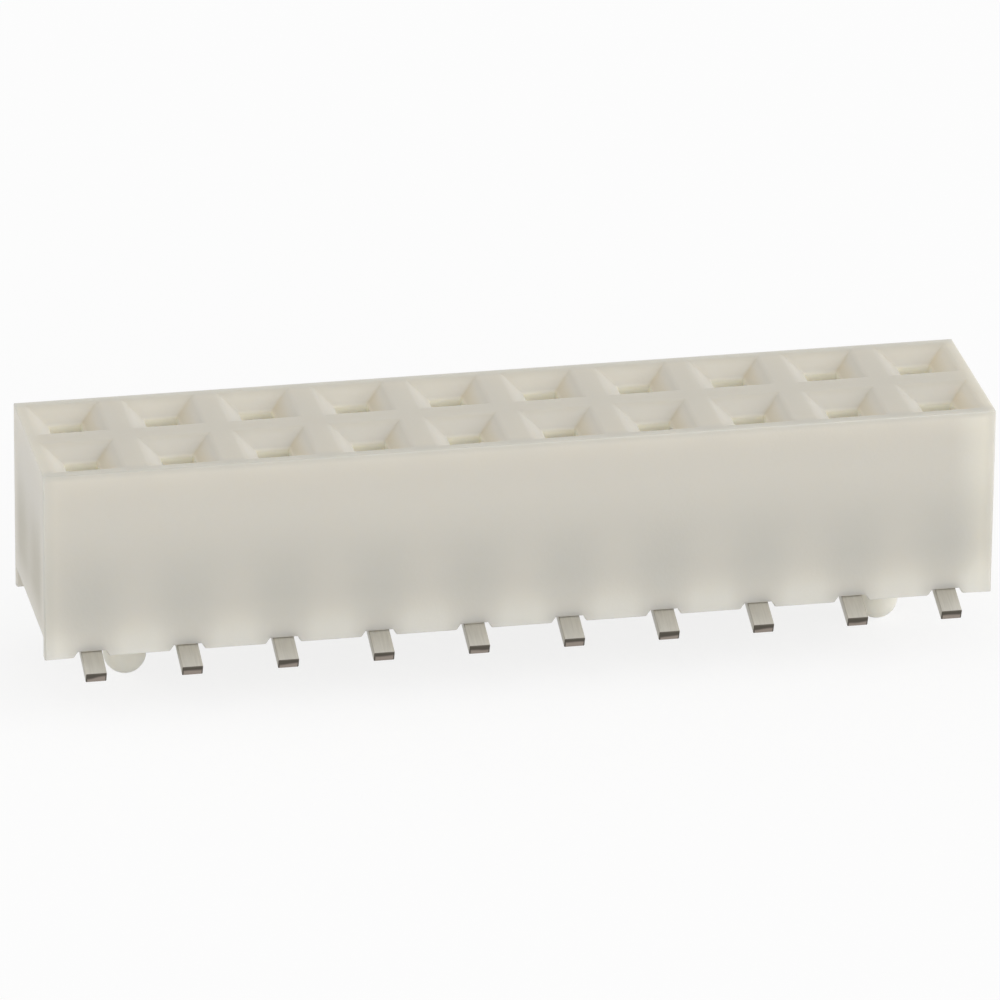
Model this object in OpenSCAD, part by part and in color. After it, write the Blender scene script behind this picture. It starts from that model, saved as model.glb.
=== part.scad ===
// Double-row surface-mount socket header.
// A moulded housing with two locating pegs carries two rows of formed contacts.
// The top of the circuit board is z = 0, X runs along the rows and pins enter downwards.

/* [Layout] */
// Number of contacts in each row
positions = 10; // [3:1:25]
// Distance between neighbouring contacts in a row
pitch = 2.54; // [2.4:0.01:4]
// Distance between the two rows
row_pitch = 2.54; // [2.4:0.01:5]
// Side of the square pin that each contact takes
pin_w = 0.64; // [0.5:0.01:0.7]

/* [Housing] */
// Height of the long walls, from their bottom edge to the mating face
body_h = 5.2; // [4.6:0.1:9]
// Outermost contact centre to the end face
end_margin = 1.24; // [1.1:0.01:3]
// Row centre to the long face
side_margin = 1.24; // [1.1:0.01:2]
// Gap between the long walls and the board
standoff = 0.4; // [0.25:0.01:0.5]
// Depth of the channel along the underside
channel_h = 0.55; // [0.45:0.01:1.2]
// Thickness of the skirts beside the channel
skirt_t = 0.25; // [0.15:0.01:0.35]
// Radius of the outer edges
edge_r = 0.05; // [0.03:0.01:0.2]

/* [Sockets] */
// Play between a pin and its hole, each side
pin_play = 0.12; // [0.05:0.01:0.2]
// Length of the straight pin hole
hole_land = 0.45; // [0.2:0.01:1]
// Height of the sloping lead-in above the hole
funnel_depth = 0.4; // [0.2:0.01:0.8]
// Width of each sloping side of the lead-in, seen from above
funnel_run = 0.5; // [0.2:0.01:0.6]
// Size of the contact cavity along the row
cavity_w = 1.6; // [1.5:0.01:1.8]
// Size of the contact cavity across the row
cavity_d = 1.5; // [1.4:0.01:1.6]

/* [Pegs] */
// Diameter of the locating pegs
peg_d = 1.15; // [0.8:0.01:1.3]
// Reach of the pegs below the top of the board
peg_reach = 1.22; // [0.9:0.01:2.5]

/* [Contacts] */
// Thickness of the contact strip
strip_t = 0.28; // [0.2:0.01:0.3]
// Height of the flat shank that is pressed into the cavity
shank_h = 0.75; // [0.65:0.01:1]
// Height of one retaining tooth on the shank's edge
tooth_h = 0.25; // [0.15:0.01:0.3]
// Height of the relief between the shank and the folds
relief_h = 0.12; // [0.05:0.01:0.2]
// Height of the folded wings
wing_h = 0.6; // [0.3:0.01:0.8]
// Inner radius of the folds
fold_r = 0.15; // [0.05:0.01:0.2]
// Reach of the wings past the pin's centre
wing_reach = 0.35; // [0.25:0.01:0.5]
// Width of the beams at their tips
beam_tip_w = 0.45; // [0.3:0.01:0.6]
// Spring deflection of each beam when a pin is in
beam_preload = 0.1; // [0.05:0.005:0.15]
// Radius of the beam's bends at mid thickness
beam_bend_r = 0.3; // [0.2:0.01:0.4]
// Angle of the flared beam tips
flare_angle = 35; // [20:1:40]
// Length of the flared beam tips
flare_l = 0.35; // [0.2:0.01:0.4]

/* [Tails] */
// Width of the leg and of the solder tail
tail_w = 0.55; // [0.4:0.01:0.7]
// Reach of the tail's lower tip edge beyond the long wall
tail_reach = 0.68; // [0.5:0.01:1.5]
// Slope of the tail, down and outwards
tail_slope = 20; // [8:1:22]
// Inner radius of the bend between leg and tail
tail_bend_r = 0.2; // [0.15:0.01:0.25]
// Widening of each side of the wall notch at its open edge
notch_flare = 0.1; // [0:0.01:0.3]

/* [Clearances] */
// Shank edge to cavity wall, bridged by the teeth
shank_clear = 0.06; // [0.03:0.01:0.1]
// Shank face to the outer cavity wall
seat_clear = 0.02; // [0.01:0.005:0.05]
// Beam tips to the roof of the cavity
roof_clear = 0.1; // [0.05:0.01:0.3]
// Tail to the roof of its notch
notch_clear = 0.03; // [0.02:0.005:0.1]
// Tail to each side of its notch at the roof
notch_side_clear = 0.09; // [0.03:0.005:0.15]

/* [Hidden] */
$fn = 64;
rows = ["front", "rear"];
function contact_name(row, k) = str("contact_", row, "_", k);

// Depth by which a cut runs past the face it opens
through = 0.5;

// Housing
body_l = (positions - 1) * pitch + 2 * end_margin;
body_w = row_pitch + 2 * side_margin;
body_top = standoff + body_h;
channel_top = standoff + channel_h;
cavity_top = body_top - funnel_depth - hole_land;
pin_hole = pin_w + 2 * pin_play;
peg_x = (positions - 2) / 2 * pitch;

// Contact, about its own pin axis: x along the row, y out towards the long wall
shank_w = cavity_w - 2 * shank_clear;
plate_out = cavity_d / 2 - seat_clear;
plate_in = plate_out - strip_t;
wing_base = channel_top + shank_h + relief_h;
wing_top = wing_base + wing_h;
fold_x = shank_w / 2 - strip_t - fold_r;
fold_y = plate_in - fold_r;

// Beam, at the middle of the strip
beam_root_x = shank_w / 2 - strip_t / 2;
crown_x = pin_w / 2 - beam_preload + strip_t / 2;
beam_top = cavity_top - roof_clear;
flare_rise = beam_bend_r * sin(flare_angle) + flare_l * cos(flare_angle) + strip_t / 2 * sin(flare_angle);
crown_z = beam_top - flare_rise;
root_bend = [beam_root_x - beam_bend_r, wing_top];
crown_bend = [crown_x + beam_bend_r, crown_z];
bend_span = crown_bend - root_bend;
lean_l = sqrt(bend_span * bend_span - pow(2 * beam_bend_r, 2));
lean_angle = atan2(bend_span[1], bend_span[0]) - atan2(lean_l, 2 * beam_bend_r);

// Tail, from its lower tip edge on the board back to the bend under the leg
tail_tip_y = side_margin + tail_reach;
tail_bend_y = plate_out + tail_bend_r;
tail_run = tail_tip_y - tail_bend_y;
tail_bend_z = (tail_bend_r + strip_t + tail_run * sin(tail_slope)) / cos(tail_slope);
tail_l = tail_run * cos(tail_slope) + tail_bend_z * sin(tail_slope);

// Notch, with a roof that follows the slope of the tail under it
function tail_top(y) = (tail_tip_y - y) * tan(tail_slope) + strip_t / cos(tail_slope);
function notch_roof(y) = tail_top(y) + notch_clear;
notch_top = notch_roof(side_margin);
notch_w = tail_w + 2 * notch_side_clear;

// A rectangle about the origin with four round corners
module round_rect(w, h, r) {
    square([w, h - 2 * r], center = true);
    square([w - 2 * r, h], center = true);
    for (x = [-1, 1], y = [-1, 1])
        translate([x * (w / 2 - r), y * (h / 2 - r)])
            circle(r);
}

// A rectangle standing on z = 0 with two round corners at its top
module arch_rect(w, h, r) {
    translate([-w / 2, 0])
        square([w, h - r]);
    translate([-w / 2 + r, 0])
        square([w - 2 * r, h]);
    for (x = [-1, 1])
        translate([x * (w / 2 - r), h - r])
            circle(r);
}

// A part of a ring of strip thickness, between two angles less than a quarter turn apart
module strip_arc(mid_r, from, to) {
    far = 2 * (mid_r + strip_t);
    intersection() {
        difference() {
            circle(mid_r + strip_t / 2);
            circle(mid_r - strip_t / 2);
        }
        polygon([[0, 0], far * [cos(from), sin(from)], far * [cos(to), sin(to)]]);
    }
}

// A straight length of strip, upwards from the origin, with its children at its far end
module strip_run(length) {
    translate([-strip_t / 2, 0])
        square([strip_t, length]);
    translate([0, length])
        children();
}

// A bend in the strip, to the left for a positive angle, with its children at its far end.
// It is drawn from both ends, so that each end meets its neighbour exactly.
module strip_bend(mid_r, angle) {
    side = sign(angle);
    start = 90 - 90 * side;
    lap = 0.6 * angle;
    translate([-side * mid_r, 0]) {
        strip_arc(mid_r, start, start + lap);
        rotate(angle) {
            strip_arc(mid_r, start - lap, start);
            translate([side * mid_r, 0])
                children();
        }
    }
}

// Turns a drawing so that its x lies across the row and its y upwards
module across_row(width) {
    rotate([90, 0, 90])
        linear_extrude(width, center = true)
            children();
}

// Turns a drawing so that its x lies along the row and its y upwards
module along_row(width) {
    rotate([90, 0, 0])
        linear_extrude(width, center = true)
            children();
}

// Puts its children on the pin axis of one contact, with y out towards its long wall
module at_contact(row, k) {
    translate([(k - (positions + 1) / 2) * pitch, 0, 0])
        rotate(row == "front" ? 180 : 0)
            translate([0, row_pitch / 2, 0])
                children();
}

// The outer block with its small edge radii
module block() {
    translate([0, 0, standoff])
        intersection() {
            linear_extrude(body_h)
                round_rect(body_l, body_w, edge_r);
            across_row(body_l)
                arch_rect(body_w, body_h, edge_r);
            along_row(body_w)
                arch_rect(body_l, body_h, edge_r);
        }
}

// The slopes of one lead-in, from the pin hole out to its mouth, carried on above the mating face
module funnel() {
    depth = funnel_depth + through;
    spread = pin_hole / 2 + funnel_run * depth / funnel_depth;
    profile = [[-pin_hole / 2, 0], [pin_hole / 2, 0], [spread, depth], [-spread, depth]];
    translate([0, 0, body_top - funnel_depth])
        intersection() {
            across_row(2 * spread)
                polygon(profile);
            along_row(2 * spread)
                polygon(profile);
        }
}

// Everything that is open for one contact: lead-in, pin hole, cavity and tail notch
module contact_space() {
    funnel();
    linear_extrude(body_top - funnel_depth)
        square(pin_hole, center = true);
    translate([-cavity_w / 2, -cavity_d / 2, channel_top - through])
        cube([cavity_w, cavity_d, cavity_top - channel_top + through]);
    tail_notch();
}

// The notch in the wall's bottom edge that lets the tail out: flared at the wall's edge, upright inside it
module tail_notch() {
    bottom = standoff - through;
    bottom_w = notch_w + 2 * notch_flare * (1 + through / (notch_top - standoff));
    inner_y = side_margin - skirt_t - through;
    outer_y = side_margin + through;
    intersection() {
        along_row(2 * outer_y)
            polygon([
                [-notch_w / 2, channel_top],
                [notch_w / 2, channel_top],
                [notch_w / 2, notch_top],
                [bottom_w / 2, bottom],
                [-bottom_w / 2, bottom],
                [-notch_w / 2, notch_top],
            ]);
        across_row(2 * bottom_w)
            polygon([
                [inner_y, bottom],
                [outer_y, bottom],
                [outer_y, notch_roof(outer_y)],
                [inner_y, notch_roof(inner_y)],
            ]);
    }
}

// A round locating peg with a domed end, from the channel's roof down through the board
module peg() {
    dome_z = peg_d / 2 - peg_reach;
    translate([0, 0, dome_z]) {
        cylinder(d = peg_d, h = channel_top - dome_z);
        sphere(d = peg_d);
    }
}

module housing() {
    color([0.80, 0.78, 0.72]) {
        difference() {
            block();
            translate([-body_l / 2 - through, -body_w / 2 + skirt_t, standoff - through])
                cube([body_l + 2 * through, body_w - 2 * skirt_t, channel_h + through]);
            for (row = rows, k = [1:positions])
                at_contact(row, k)
                    contact_space();
        }
        for (side = [-1, 1])
            translate([side * peg_x, 0, 0])
                peg();
    }
}

// The flat shank with its retaining teeth, and the narrow relief above it
module shank() {
    translate([0, (plate_in + plate_out) / 2, channel_top])
        along_row(strip_t) {
            translate([-shank_w / 2, 0])
                square([shank_w, shank_h]);
            translate([-fold_x, 0])
                square([2 * fold_x, shank_h + relief_h]);
            for (side = [0, 1], tooth = [1, 2])
                mirror([side, 0])
                    translate([0, shank_h - tooth * tooth_h])
                        shank_tooth();
        }
}

// One tooth: square below, sloping above, with a small flat that bears on the cavity wall
module shank_tooth() {
    bearing = tooth_h / 3;
    polygon([
        [0, 0],
        [cavity_w / 2, 0],
        [cavity_w / 2, bearing],
        [shank_w / 2, tooth_h],
        [0, tooth_h],
    ]);
}

// The folded part above the shank, as a channel section open towards the other row
module wings() {
    translate([0, (plate_in + plate_out) / 2, wing_base])
        linear_extrude(wing_h)
            for (side = [0, 1])
                mirror([side, 0])
                    rotate(-90)
                        strip_run(fold_x)
                            strip_bend(fold_r + strip_t / 2, -90)
                                strip_run(fold_y + wing_reach);
}

// One sprung beam seen from the long side: it leans in to the pin and flares out at its tip
module beam_profile() {
    translate([beam_root_x, wing_top])
        strip_bend(beam_bend_r, lean_angle)
            strip_run(lean_l)
                strip_bend(beam_bend_r, -lean_angle - flare_angle)
                    strip_run(flare_l);
}

// Both beams, tapering from the wings to their tips
module beams() {
    intersection() {
        along_row(2 * cavity_d)
            for (side = [0, 1])
                mirror([side, 0])
                    beam_profile();
        across_row(cavity_w)
            polygon([
                [-wing_reach, wing_top],
                [fold_y, wing_top],
                [beam_tip_w / 2, beam_top],
                [-beam_tip_w / 2, beam_top],
            ]);
    }
}

// The leg below the shank, the bend under it and the solder tail
module tail() {
    across_row(tail_w)
        translate([(plate_in + plate_out) / 2, channel_top])
            rotate(180)
                strip_run(channel_top - tail_bend_z)
                    strip_bend(tail_bend_r + strip_t / 2, 90 - tail_slope)
                        strip_run(tail_l);
}

module contact() {
    color([0.66, 0.65, 0.61]) {
        shank();
        wings();
        beams();
        tail();
    }
}

housing();
for (row = rows, k = [1:positions])
    at_contact(row, k) contact();
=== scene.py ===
import math

import bmesh
import bpy
from mathutils import Matrix, Vector


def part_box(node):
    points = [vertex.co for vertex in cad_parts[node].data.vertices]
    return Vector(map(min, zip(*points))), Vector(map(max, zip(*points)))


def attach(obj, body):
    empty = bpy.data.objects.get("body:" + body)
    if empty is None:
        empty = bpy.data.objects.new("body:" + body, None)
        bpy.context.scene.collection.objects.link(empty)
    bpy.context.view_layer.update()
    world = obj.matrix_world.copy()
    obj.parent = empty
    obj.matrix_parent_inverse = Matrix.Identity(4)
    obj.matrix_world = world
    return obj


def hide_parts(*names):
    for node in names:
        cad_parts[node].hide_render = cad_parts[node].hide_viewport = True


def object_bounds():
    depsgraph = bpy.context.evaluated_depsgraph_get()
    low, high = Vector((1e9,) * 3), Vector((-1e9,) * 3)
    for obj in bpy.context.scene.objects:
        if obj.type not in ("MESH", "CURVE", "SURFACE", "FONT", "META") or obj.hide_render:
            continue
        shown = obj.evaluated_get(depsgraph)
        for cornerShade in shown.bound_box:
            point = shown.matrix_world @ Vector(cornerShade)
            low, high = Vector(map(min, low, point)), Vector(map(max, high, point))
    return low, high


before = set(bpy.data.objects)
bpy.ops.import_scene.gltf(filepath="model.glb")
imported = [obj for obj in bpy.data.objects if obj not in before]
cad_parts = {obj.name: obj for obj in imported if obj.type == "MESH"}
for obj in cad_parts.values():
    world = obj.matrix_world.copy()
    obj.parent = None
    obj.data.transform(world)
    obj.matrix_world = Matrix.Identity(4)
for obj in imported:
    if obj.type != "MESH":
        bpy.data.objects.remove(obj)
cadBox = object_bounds()
mm = 0.001

# The grid of contacts, read from the frame: rows lie as far apart as neighbours in a row
rowNames = ["front", "rear"]
perRow = sum(name.startswith("contact_front_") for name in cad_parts)


def contactNode(row, number):
    return f"contact_{row}_{number}"


def middleX(node):
    low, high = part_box(node)
    return (low.x + high.x) / 2


firstX = middleX(contactNode("front", 1))
pitch = middleX(contactNode("front", 2)) - firstX
print(f"frame: {perRow} contacts a row, {pitch / mm:.2f} mm apart")

# What the finishes measure from, in millimetres
halfPitch = pitch / mm / 2
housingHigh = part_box("housing")[1]
endFaceX = housingHigh.x / mm
longFaceY = housingHigh.y / mm
tailTip = -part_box(contactNode("front", 1))[0].y / mm


# Shader wiring: a Wire is a socket, and sums on wires add Math nodes
class Wire:
    def __init__(self, tree, socket=None):
        self.tree = tree
        self.socket = socket

    def node(self, kind, settings=None, inputs=None, output=0):
        made = self.tree.nodes.new(kind)
        for name, value in (settings or {}).items():
            setattr(made, name, value)
        for name, value in (inputs or {}).items():
            if isinstance(value, Wire):
                self.tree.links.new(value.socket, made.inputs[name])
            else:
                made.inputs[name].default_value = value
        return Wire(self.tree, made.outputs[output])

    def math(self, operation, first, second=0.0):
        return self.node("ShaderNodeMath", {"operation": operation}, {0: first, 1: second})

    def __add__(self, other):
        return self.math("ADD", self, other)

    def __radd__(self, other):
        return self.math("ADD", other, self)

    def __sub__(self, other):
        return self.math("SUBTRACT", self, other)

    def __rsub__(self, other):
        return self.math("SUBTRACT", other, self)

    def __mul__(self, other):
        return self.math("MULTIPLY", self, other)

    def __rmul__(self, other):
        return self.math("MULTIPLY", other, self)

    def __abs__(self):
        return self.math("ABSOLUTE", self)

    def larger(self, other):
        return self.math("MAXIMUM", self, other)

    # 0 below low, 1 above high, eased between them
    def rise(self, low, high):
        limits = {"Value": self, "From Min": low, "From Max": high}
        return self.node("ShaderNodeMapRange", {"interpolation_type": "SMOOTHSTEP"}, limits)

    def fall(self, low, high):
        return 1 - self.rise(low, high)

    # 1 between two eased edges
    def band(self, foot, head):
        return self.rise(*foot) * self.fall(*head)

    # Distance to the nearest contact centre along this axis
    def offCentre(self):
        return self.math("PINGPONG", self - halfPitch, halfPitch)

    # The same with its sign, from minus to plus half a pitch
    def fromCentre(self):
        limits = {0: self - halfPitch, 1: halfPitch, 2: -halfPitch}
        return self.node("ShaderNodeMath", {"operation": "WRAP"}, limits)

    # This wire is the share of the second colour. Sockets 6 and 7 take colours, output 2 gives their mix.
    def blend(self, first, second):
        both = {"Factor": self, 6: first, 7: second}
        return self.node("ShaderNodeMix", {"data_type": "RGBA"}, both, 2)

    def bump(self, depth):
        return self.node("ShaderNodeBump", None, {"Height": self, "Distance": depth})


def newFinish(name):
    finish = bpy.data.materials.new(name)
    finish.use_nodes = True
    print(f"finish: {name}")
    return finish, finish.node_tree.nodes["Principled BSDF"], Wire(finish.node_tree)


# Place on the piece in millimetres, as a vector and as its three axes
def placeOf(wire):
    scaled = {"Scale": 1 / mm, 0: wire.node("ShaderNodeTexCoord", output="Object")}
    place = wire.node("ShaderNodeVectorMath", {"operation": "SCALE"}, scaled)
    axes = [wire.node("ShaderNodeSeparateXYZ", None, {0: place}, axis) for axis in "XYZ"]
    return place, axes


# Noise about zero. A small stretch draws it out along that axis.
def noise(place, style):
    stretch = style.get("stretch", (1, 1, 1))
    moved = place.node("ShaderNodeMapping", None, {"Vector": place, "Scale": stretch})
    inputs = {"Vector": moved, "Scale": style["scale"], "Detail": style["detail"]}
    return place.node("ShaderNodeTexNoise", None, inputs) - 0.5


def wireTo(wire, shader, socket):
    wire.tree.links.new(wire.socket, shader.inputs[socket])


# Housing plastic: unfilled ivory resin that lets some light through.
# Pairs of millimetres are where an eased edge starts and ends; amounts are shares of a tint.
plastic = {
    "colour": (0.610, 0.582, 0.518, 1),
    # pale: painted light on the long faces, and one side of the flow marks' random tone
    "pale": (0.70, 0.675, 0.60, 1),
    # painted grey shade, used on the long faces and along the upper long edges
    "shadeGrey": (0.485, 0.474, 0.43, 1),
    "roughness": 0.42,
    "specular": 0.4,
    "subsurface": 0.55,
    "radius": (1.0, 0.9, 0.74),
    "depth": 1.4 * mm,
    # how far in from a face its tint reaches
    "skin": (0.1, 0.2),
    # painted light: paler low down between the contacts, where the resin is solid and lets light through,
    # and just in from the right end, where light from the right glows through
    "foot": {"width": (0.4, 0.9), "head": (0.5, 1.7), "amount": 0.75},
    "clear": {"edge": (0.02, 0.27), "inset": (0.47, 1.27), "amount": 0.75},
    # painted shade: the upper face darker and warmer between the lead-ins, and greyer along its long
    # edges, against the brightness they catch
    "top": {"colour": (0.57, 0.535, 0.45, 1), "foot": (5.45, 5.59), "amount": 0.6},
    "rim": {"reach": (2.0, 2.35), "foot": (5.38, 5.58), "amount": 0.6},
    # pegs: painted light, paler still, as though light reached them under the body
    "peg": {"colour": (0.80, 0.775, 0.69, 1), "reach": (0.7, 0.8), "head": (0.4, 0.9)},
    # painted shade on the long faces: greyer over the row of cavities, over the shanks of the contacts
    # and at the very corners, and darker and warmer low down, where the legs of the contacts stand behind
    # the resin
    "wall": {"foot": (0.8, 2.0), "head": (2.6, 4.4), "amount": 0.35},
    "shank": {"width": (0.1, 1.2), "foot": (0.7, 1.3), "head": (1.7, 3.7), "amount": 0.3},
    "cornerShade": {"inset": (0.07, 0.37), "amount": 0.4},
    "leg": {"colour": (0.53, 0.495, 0.42, 1), "width": (0.2, 0.45), "head": (0.7, 1.3), "amount": 0.3},
    # end faces: painted shade where the folded wings of the outer contacts stand close behind the resin
    "end": {"colour": (0.43, 0.4, 0.315, 1), "width": (0.2, 1.35), "reach": (1.5, 2.4),
            "foot": (1.0, 2.0), "head": (2.6, 4.7), "middle": 0.65, "amount": 0.76},
    # slopes of the lead-ins: painted light low down, and a warmer painted shade on the right-hand ones
    "slope": {"colour": (0.71, 0.68, 0.605, 1), "across": (0.92, 0.96),
              "foot": (5.0, 5.15), "head": (5.26, 5.58), "amount": 0.62},
    "warmShade": {"colour": (0.655, 0.585, 0.445, 1), "valley": (-0.12, 0.08),
             "side": (0.36, 0.44), "amount": 0.85},
    # painted light: walls of the pin holes and cavities made paler and warmer, for what comes through the
    # resin
    "innerLight": {"colour": (1.0, 0.935, 0.775, 1), "along": (0.82, 0.86), "across": (0.77, 0.81),
              "foot": (0.96, 1.0), "head": (5.1, 5.26)},
    # flow marks drawn out along the row, and the fine grain that the mould leaves
    "flow": {"scale": 0.5, "detail": 4, "stretch": (0.35, 1, 1), "amount": 0.22},
    "grain": {"scale": 11, "detail": 2, "depth": 0.003 * mm, "roughness": 0.1},
}


# How much a point lies in the outer skin of a pair of faces, which stand at plus and minus this distance
def skinOf(axis, face):
    return (face - abs(axis)).fall(*plastic["skin"])


# A point of the housing: its axes, its distances from the contact centres, and the skins that it lies in
class Spot:
    def __init__(self, axes):
        self.x, self.y, self.z = axes
        self.offX = self.x.offCentre()
        self.offY = self.y.offCentre()
        self.longFace = skinOf(self.y, longFaceY)
        self.endFace = skinOf(self.x, endFaceX)


# Painted light: where the long faces are made palest
def paintedLightShare(spot):
    foot, clear = plastic["foot"], plastic["clear"]
    between = spot.offX.rise(*foot["width"]) * spot.z.fall(*foot["head"]) * foot["amount"]
    litRightEnd = (endFaceX - spot.x).band(clear["edge"], clear["inset"]) * clear["amount"]
    return spot.longFace * (between + litRightEnd)


# Painted shade on the upper face and along its long edges
def shadeTop(colour, spot):
    top, rim = plastic["top"], plastic["rim"]
    onTop = spot.z.rise(*top["foot"]) * top["amount"]
    onRim = spot.z.rise(*rim["foot"]) * abs(spot.y).rise(*rim["reach"]) * rim["amount"]
    return onRim.blend(onTop.blend(colour, top["colour"]), plastic["shadeGrey"])


# Painted light on the pegs
def lightPegs(colour, spot):
    peg = plastic["peg"]
    onPeg = abs(spot.y).fall(*peg["reach"]) * spot.z.fall(*peg["head"])
    return onPeg.blend(colour, peg["colour"])


# Painted shade on the long faces, where metal stands behind the resin
def shadeLongFaces(colour, spot):
    wall, shank, cornerShade, leg = [plastic[name] for name in ("wall", "shank", "cornerShade", "leg")]
    overRow = spot.z.band(wall["foot"], wall["head"]) * wall["amount"]
    overShank = spot.offX.fall(*shank["width"]) * spot.z.band(shank["foot"], shank["head"])
    onCorner = (endFaceX - abs(spot.x)).fall(*cornerShade["inset"]) * cornerShade["amount"]
    shadeGrey = overRow + overShank * shank["amount"] + onCorner
    overLeg = spot.offX.fall(*leg["width"]) * spot.z.fall(*leg["head"]) * leg["amount"]
    colour = (spot.longFace * shadeGrey).blend(colour, plastic["shadeGrey"])
    return (spot.longFace * overLeg).blend(colour, leg["colour"])


# Painted shade on the end faces
def shadeEnds(colour, spot):
    end = plastic["end"]
    overWings = spot.offY.fall(*end["width"]) * (1 - end["middle"])
    overMiddle = abs(spot.y).fall(*end["reach"]) * end["middle"]
    level = spot.z.band(end["foot"], end["head"]) * end["amount"]
    return (spot.endFace * (overWings + overMiddle) * level).blend(colour, end["colour"])


# Painted light and shade on the lead-ins and in the pin holes
def lightAndShadeLeadIns(colour, spot):
    slope, warmShade, innerLight = [plastic[name] for name in ("slope", "warmShade", "innerLight")]
    onSlope = spot.offX.fall(*slope["across"]) * spot.offY.fall(*slope["across"])
    onSlope = onSlope * spot.z.band(slope["foot"], slope["head"])
    onRight = (spot.offX - spot.offY).rise(*warmShade["valley"]) * spot.x.fromCentre().rise(*warmShade["side"])
    inside = spot.offX.fall(*innerLight["along"]) * spot.offY.fall(*innerLight["across"])
    inside = inside * spot.z.band(innerLight["foot"], innerLight["head"])
    colour = (onSlope * slope["amount"]).blend(colour, slope["colour"])
    colour = (onSlope * onRight * warmShade["amount"]).blend(colour, warmShade["colour"])
    return inside.blend(colour, innerLight["colour"])


def makePlastic():
    finish, shader, wire = newFinish("ivoryPlastic")
    flow, grain = plastic["flow"], plastic["grain"]
    place, axes = placeOf(wire)
    spot = Spot(axes)
    marks = noise(place, flow)
    speckle = noise(place, grain)
    # Painted light on the long faces, with the flow marks' random tone about it
    colour = (paintedLightShare(spot) + marks * flow["amount"]).blend(plastic["colour"], plastic["pale"])
    # Then painted light and shade on the upper face, pegs, long faces, end faces and lead-ins
    for tint in (shadeTop, lightPegs, shadeLongFaces, shadeEnds, lightAndShadeLeadIns):
        colour = tint(colour, spot)
    wireTo(colour, shader, "Base Color")
    wireTo((marks + speckle) * grain["roughness"] + plastic["roughness"], shader, "Roughness")
    wireTo(speckle.bump(grain["depth"]), shader, "Normal")
    shader.inputs["Specular IOR Level"].default_value = plastic["specular"]
    shader.inputs["Subsurface Weight"].default_value = plastic["subsurface"]
    shader.inputs["Subsurface Radius"].default_value = plastic["radius"]
    shader.inputs["Subsurface Scale"].default_value = plastic["depth"]
    return finish


# Contact strip: satin tin plate, rolled lengthwise, with bare sheared metal at the tail ends
tin = {
    "colour": (0.60, 0.58, 0.525, 1),
    "roughness": 0.36,
    # tail of the contact: its slope, half its width and the thickness of the strip
    "tail": {"slope": 20, "half": 0.275, "thickness": 0.28},
    # cut face of the tail: bare sheared metal, smeared and paler below; dark over its upper share and at
    # the rim, partly the rough fracture and partly painted shade
    "cut": {"skin": (0.015, 0.03), "share": 0.55, "blur": (-0.03, 0.05), "rim": (0.02, 0.055),
            "dark": (0.10, 0.09, 0.075, 1), "pale": (0.31, 0.265, 0.23, 1)},
    # how far the line between dark and pale wanders
    "sway": {"scale": 1.1, "detail": 2, "amount": 0.22},
    # sheared sides of the tail
    "side": {"skin": (0.01, 0.02), "head": (0.8, 0.95), "colour": (0.40, 0.38, 0.33, 1), "amount": 0.8},
    # rolling marks that run along the strip
    "roll": {"scale": 1.0, "detail": 3, "stretch": (24, 1.3, 1.3), "streak": (-0.2, 0.25),
             "colour": (0.50, 0.48, 0.43, 1), "amount": 0.5, "roughness": 0.14, "depth": 0.0008 * mm},
}


# Distance in from the cut face of the sloping tail, and height over its lower face
def tailPlace(y, z):
    slope = math.radians(tin["tail"]["slope"])
    sine = math.sin(slope)
    cosine = math.cos(slope)
    # measured from the lower edge of the cut face, where z is 0
    inward = tailTip - tin["tail"]["thickness"] * sine - abs(y)
    return inward * cosine + z * sine, z * cosine - inward * sine


def makeTin():
    finish, shader, wire = newFinish("tinnedStrip")
    tail, cut, sway, side, roll = [tin[name] for name in ("tail", "cut", "sway", "side", "roll")]
    place, (x, y, z) = placeOf(wire)
    fromCut, height = tailPlace(y, z)
    fromSide = tail["half"] - x.offCentre()
    atCut = fromCut.fall(*cut["skin"])
    smeared = tail["thickness"] * (1 - cut["share"])
    brokenAndShaded = (height + noise(place, sway) * sway["amount"] - smeared).rise(*cut["blur"])
    onRim = fromSide.fall(*cut["rim"])
    atSide = fromSide.fall(*side["skin"]) * z.fall(*side["head"]) * side["amount"]
    marks = noise(place, roll)
    streaks = marks.rise(*roll["streak"]) * roll["amount"]

    colour = streaks.blend(tin["colour"], roll["colour"])
    colour = atSide.blend(colour, side["colour"])
    colour = atCut.blend(colour, cut["pale"])
    # Dark upper share and rim of the cut: partly rough fracture, partly painted shade
    colour = (atCut * brokenAndShaded.larger(onRim)).blend(colour, cut["dark"])
    wireTo(colour, shader, "Base Color")
    wireTo(marks * roll["roughness"] + tin["roughness"], shader, "Roughness")
    wireTo(marks.bump(roll["depth"]), shader, "Normal")
    shader.inputs["Metallic"].default_value = 1
    return finish


# What counts as one point, and the turn in degrees that still counts as flat
copying = {"merge": 0.0005 * mm, "flat": 0.4}


# A merged copy of a CAD node, with flat stretches made whole
def mergedCopy(node, name):
    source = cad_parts[node].data
    build = bmesh.new()
    corners = [build.verts.new(vertex.co) for vertex in source.vertices]
    for polygon in source.polygons:
        build.faces.new([corners[index] for index in polygon.vertices])
    bmesh.ops.remove_doubles(build, verts=build.verts, dist=copying["merge"])
    flat = math.radians(copying["flat"])
    bmesh.ops.dissolve_limit(build, angle_limit=flat, verts=build.verts, edges=build.edges)
    mesh = bpy.data.meshes.new(name)
    build.to_mesh(mesh)
    build.free()
    mesh.shade_smooth()
    piece = bpy.data.objects.new(name, mesh)
    bpy.context.scene.collection.objects.link(piece)
    return piece


# Edges that turn by more than steep degrees get the narrower width. A rounded edge needs this many
# widths of face beside it, and this many of its own length.
rounding = {"steep": 45, "beside": 1.5, "along": 0.5}


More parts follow.
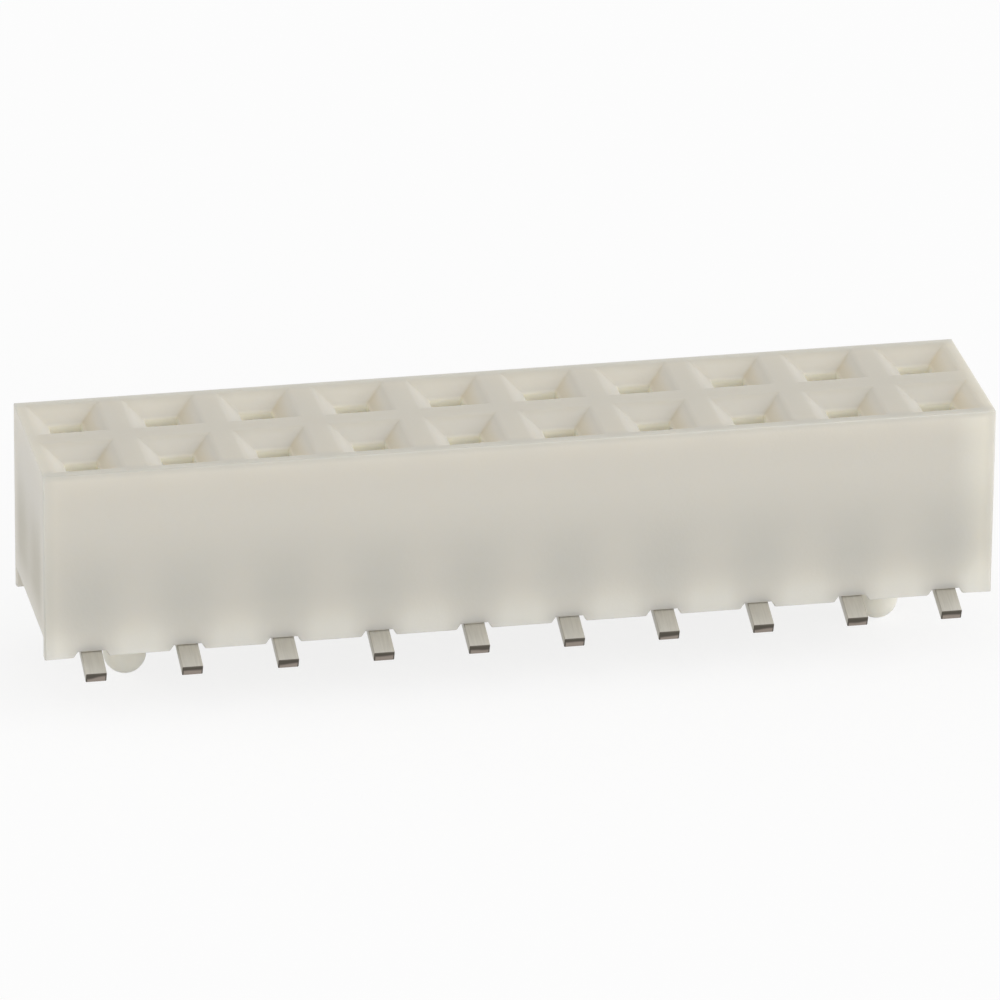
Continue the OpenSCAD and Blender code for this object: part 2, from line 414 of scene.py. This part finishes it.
# Rounds the edges that turn by more than the style's angle and have room, each to its own width
def softenEdges(piece, style, staysCrisp=lambda edge: False):
    build = bmesh.new()
    build.from_mesh(piece.data)
    weight = build.edges.layers.float.new("bevel_weight_edge")
    for edge in build.edges:
        turn = math.degrees(edge.calc_face_angle(0))
        width = style["edge"] if turn > rounding["steep"] else style["shallowEdge"]
        length = edge.calc_length()
        room = min(face.calc_area() for face in edge.link_faces) / length
        fits = room > rounding["beside"] * width and length > rounding["along"] * width
        if turn > style["angle"] and fits and not staysCrisp(edge):
            edge[weight] = width / style["shallowEdge"]
    build.to_mesh(piece.data)
    build.free()
    bevel = piece.modifiers.new("softEdges", "BEVEL")
    bevel.width = style["shallowEdge"]
    bevel.segments = style["segments"]
    bevel.limit_method = "WEIGHT"
    bevel.use_clamp_overlap = False
    weighted = piece.modifiers.new("faceNormals", "WEIGHTED_NORMAL")
    weighted.keep_sharp = True


# A plain mesh, under a name of its own, that takes the place of a draft with modifiers
def plainMesh(draft, name):
    shown = draft.evaluated_get(bpy.context.evaluated_depsgraph_get())
    mesh = bpy.data.meshes.new_from_object(shown)
    bpy.data.objects.remove(draft)
    plain = bpy.data.objects.new(name, mesh)
    mesh.name = name
    bpy.context.scene.collection.objects.link(plain)
    return plain


def joinFrame(piece, nodes):
    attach(piece, "root")
    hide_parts(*nodes)


housing = {
    "edge": 0.04 * mm,
    "shallowEdge": 0.08 * mm,  # round the mouths of the lead-ins
    "segments": 3,
    "angle": 30,
    # where a notch lies close over a tail: half its width, its heights, and how far out it starts
    "notch": {"half": 0.5 * mm, "foot": 0.5 * mm, "head": 1.2 * mm, "reach": 2.2 * mm},
}


# An edge of a tail notch keeps its form, so that the gap over the tail stays narrow
def overTail(edge):
    notch = housing["notch"]
    middle = (edge.verts[0].co + edge.verts[1].co) / 2
    across = abs((middle.x - firstX + pitch / 2) % pitch - pitch / 2)
    inside = across < notch["half"] and abs(middle.y) > notch["reach"]
    return inside and notch["foot"] < middle.z < notch["head"]


def makeHousing(finish):
    draft = mergedCopy("housing", "housingDraft")
    softenEdges(draft, housing, overTail)
    piece = plainMesh(draft, "moulded_housing")
    piece.data.materials.clear()
    piece.data.materials.append(finish)
    joinFrame(piece, ["housing"])
    print(f"housing: {len(piece.data.polygons)} faces")


contacts = {
    "edge": 0.025 * mm,
    "shallowEdge": 0.025 * mm,
    "segments": 2,
    "angle": 40,
    "turn": {"front": math.pi, "rear": 0.0},
    "side": {"front": -1, "rear": 1},
}


# One contact on its own pin axis, as the rear row has it
def makeTemplate():
    draft = mergedCopy(contactNode("rear", 1), "contactDraft")
    draft.data.transform(Matrix.Translation((-firstX, -pitch / 2, 0)))
    softenEdges(draft, contacts)
    return plainMesh(draft, "contactTemplate")


# Geometry Nodes: a line of points, one turned contact on each, made real and given its finish
def makeRowTree():
    tree = bpy.data.node_groups.new("contactRow", "GeometryNodeTree")
    tree.interface.new_socket("Geometry", in_out="OUTPUT", socket_type="NodeSocketGeometry")
    kinds = {
        "Contact": "NodeSocketObject",
        "Count": "NodeSocketInt",
        "Pitch": "NodeSocketVector",
        "Start": "NodeSocketVector",
        "Turn": "NodeSocketVector",
        "Finish": "NodeSocketMaterial",
    }
    ids = {}
    for name, kind in kinds.items():
        ids[name] = tree.interface.new_socket(name, in_out="INPUT", socket_type=kind).identifier
    given = tree.nodes.new("NodeGroupInput")
    line = tree.nodes.new("GeometryNodeMeshLine")
    shape = tree.nodes.new("GeometryNodeObjectInfo")
    spread = tree.nodes.new("GeometryNodeInstanceOnPoints")
    real = tree.nodes.new("GeometryNodeRealizeInstances")
    coat = tree.nodes.new("GeometryNodeSetMaterial")
    result = tree.nodes.new("NodeGroupOutput")
    links = [
        (given, "Count", line, "Count"),
        (given, "Start", line, "Start Location"),
        (given, "Pitch", line, "Offset"),
        (given, "Contact", shape, "Object"),
        (line, "Mesh", spread, "Points"),
        (shape, "Geometry", spread, "Instance"),
        (given, "Turn", spread, "Rotation"),
        (spread, "Instances", real, "Geometry"),
        (real, "Geometry", coat, "Geometry"),
        (given, "Finish", coat, "Material"),
        (coat, "Geometry", result, "Geometry"),
    ]
    for source, output, target, entry in links:
        tree.links.new(source.outputs[output], target.inputs[entry])
    return tree, ids


def makeContacts(finish):
    template = makeTemplate()
    tree, ids = makeRowTree()
    for row in rowNames:
        name = f"{row}_contacts"
        carrier = bpy.data.objects.new(name + "Draft", bpy.data.meshes.new(name + "Draft"))
        bpy.context.scene.collection.objects.link(carrier)
        nodes = carrier.modifiers.new("contactRow", "NODES")
        nodes.node_group = tree
        nodes[ids["Contact"]] = template
        nodes[ids["Count"]] = perRow
        nodes[ids["Pitch"]] = (pitch, 0, 0)
        nodes[ids["Start"]] = (firstX, contacts["side"][row] * pitch / 2, 0)
        nodes[ids["Turn"]] = (0, 0, contacts["turn"][row])
        nodes[ids["Finish"]] = finish
        piece = plainMesh(carrier, name)
        joinFrame(piece, [contactNode(row, k + 1) for k in range(perRow)])
        print(f"{name}: {len(piece.data.polygons)} faces")
    bpy.data.objects.remove(template)


makeHousing(makePlastic())
makeContacts(makeTin())


# Camera, at the photograph's viewing angle
camera = {
    "aim": Vector((-0.11, 0, 2.934)) * mm,
    "azimuth": -11.485,
    "elevation": 23.5,
    "distance": 274.0 * mm,
    "roll": 0.571,
    "lens": 374.0,
    "sensor": 36.0,
    "clip": 20,  # times nearer and farther than the object
}


def makeCamera():
    data = bpy.data.cameras.new("camera")
    data.lens = camera["lens"]
    data.sensor_width = camera["sensor"]
    data.clip_start = camera["distance"] / camera["clip"]
    data.clip_end = camera["distance"] * camera["clip"]
    view = bpy.data.objects.new("camera", data)
    azimuth = math.radians(camera["azimuth"])
    elevation = math.radians(camera["elevation"])
    flat = math.cos(elevation)
    back = Vector((math.sin(azimuth) * flat, -math.cos(azimuth) * flat, math.sin(elevation)))
    turn = back.to_track_quat("Z", "Y").to_matrix().to_4x4()
    spin = Matrix.Rotation(math.radians(camera["roll"]), 4, "Z")
    place = Matrix.Translation(camera["aim"] + back * camera["distance"])
    view.matrix_world = place @ turn @ spin
    bpy.context.scene.collection.objects.link(view)
    bpy.context.scene.camera = view


# A light tent: even white all round, a soft key from the right, a low front fill and a weak left side
studio = {
    "sky": 0.63,
    "lamps": {
        "key": {"strength": 1.3, "angle": 45, "from": (1.0, -0.25, 0.42)},
        "fill": {"strength": 1.0, "angle": 60, "from": (0.3, -1.0, 0.16)},
        "side": {"strength": 0.6, "angle": 60, "from": (-1.0, 0.3, 0.3)},
    },
    "floor": (0.97, 0.97, 0.97, 1),
    "floorGlow": 0.8,
    "floorSize": 2.0,
}


# 1 for rays that show the surface itself, straight, mirrored or through glass
def shownRay(wire):
    rays = ["Is Camera Ray", "Is Glossy Ray", "Is Transmission Ray"]
    straight, mirrored, passing = [wire.node("ShaderNodeLightPath", output=ray) for ray in rays]
    return straight.larger(mirrored).larger(passing)


def makeSky():
    world = bpy.data.worlds.new("tent")
    world.use_nodes = True
    bpy.context.scene.world = world
    wire = Wire(world.node_tree)
    sky = world.node_tree.nodes["Background"]
    sky.inputs["Color"].default_value = (1, 1, 1, 1)
    wireTo(shownRay(wire) * (1 - studio["sky"]) + studio["sky"], sky, "Strength")


def makeLamps():
    for name, lamp in studio["lamps"].items():
        data = bpy.data.lights.new(name, "SUN")
        data.energy = lamp["strength"]
        data.angle = math.radians(lamp["angle"])
        sun = bpy.data.objects.new(name, data)
        sun.rotation_euler = Vector(lamp["from"]).to_track_quat("Z", "Y").to_euler()
        bpy.context.scene.collection.objects.link(sun)


# Pale paper under the pegs: it keeps the shadow, and shows white where no shadow falls
def makeFloor():
    half = studio["floorSize"] / 2
    height = cadBox[0].z
    corners = [(-half, -half, height), (half, -half, height), (half, half, height), (-half, half, height)]
    mesh = bpy.data.meshes.new("floor")
    mesh.from_pydata(corners, [], [(0, 1, 2, 3)])
    floor = bpy.data.objects.new("floor", mesh)
    bpy.context.scene.collection.objects.link(floor)
    paper, shader, wire = newFinish("floorPaper")
    shader.inputs["Base Color"].default_value = studio["floor"]
    shader.inputs["Roughness"].default_value = 1
    shader.inputs["Specular IOR Level"].default_value = 0
    share = shownRay(wire) * studio["floorGlow"]
    matt = Wire(wire.tree, shader.outputs["BSDF"])
    glow = wire.node("ShaderNodeEmission")
    both = wire.node("ShaderNodeMixShader", None, {0: share, 1: matt, 2: glow})
    wireTo(both, wire.tree.nodes["Material Output"], "Surface")
    mesh.materials.append(paper)


makeCamera()
makeSky()
makeLamps()
makeFloor()
bpy.context.scene.view_settings.view_transform = "Standard"
print("camera and studio set")
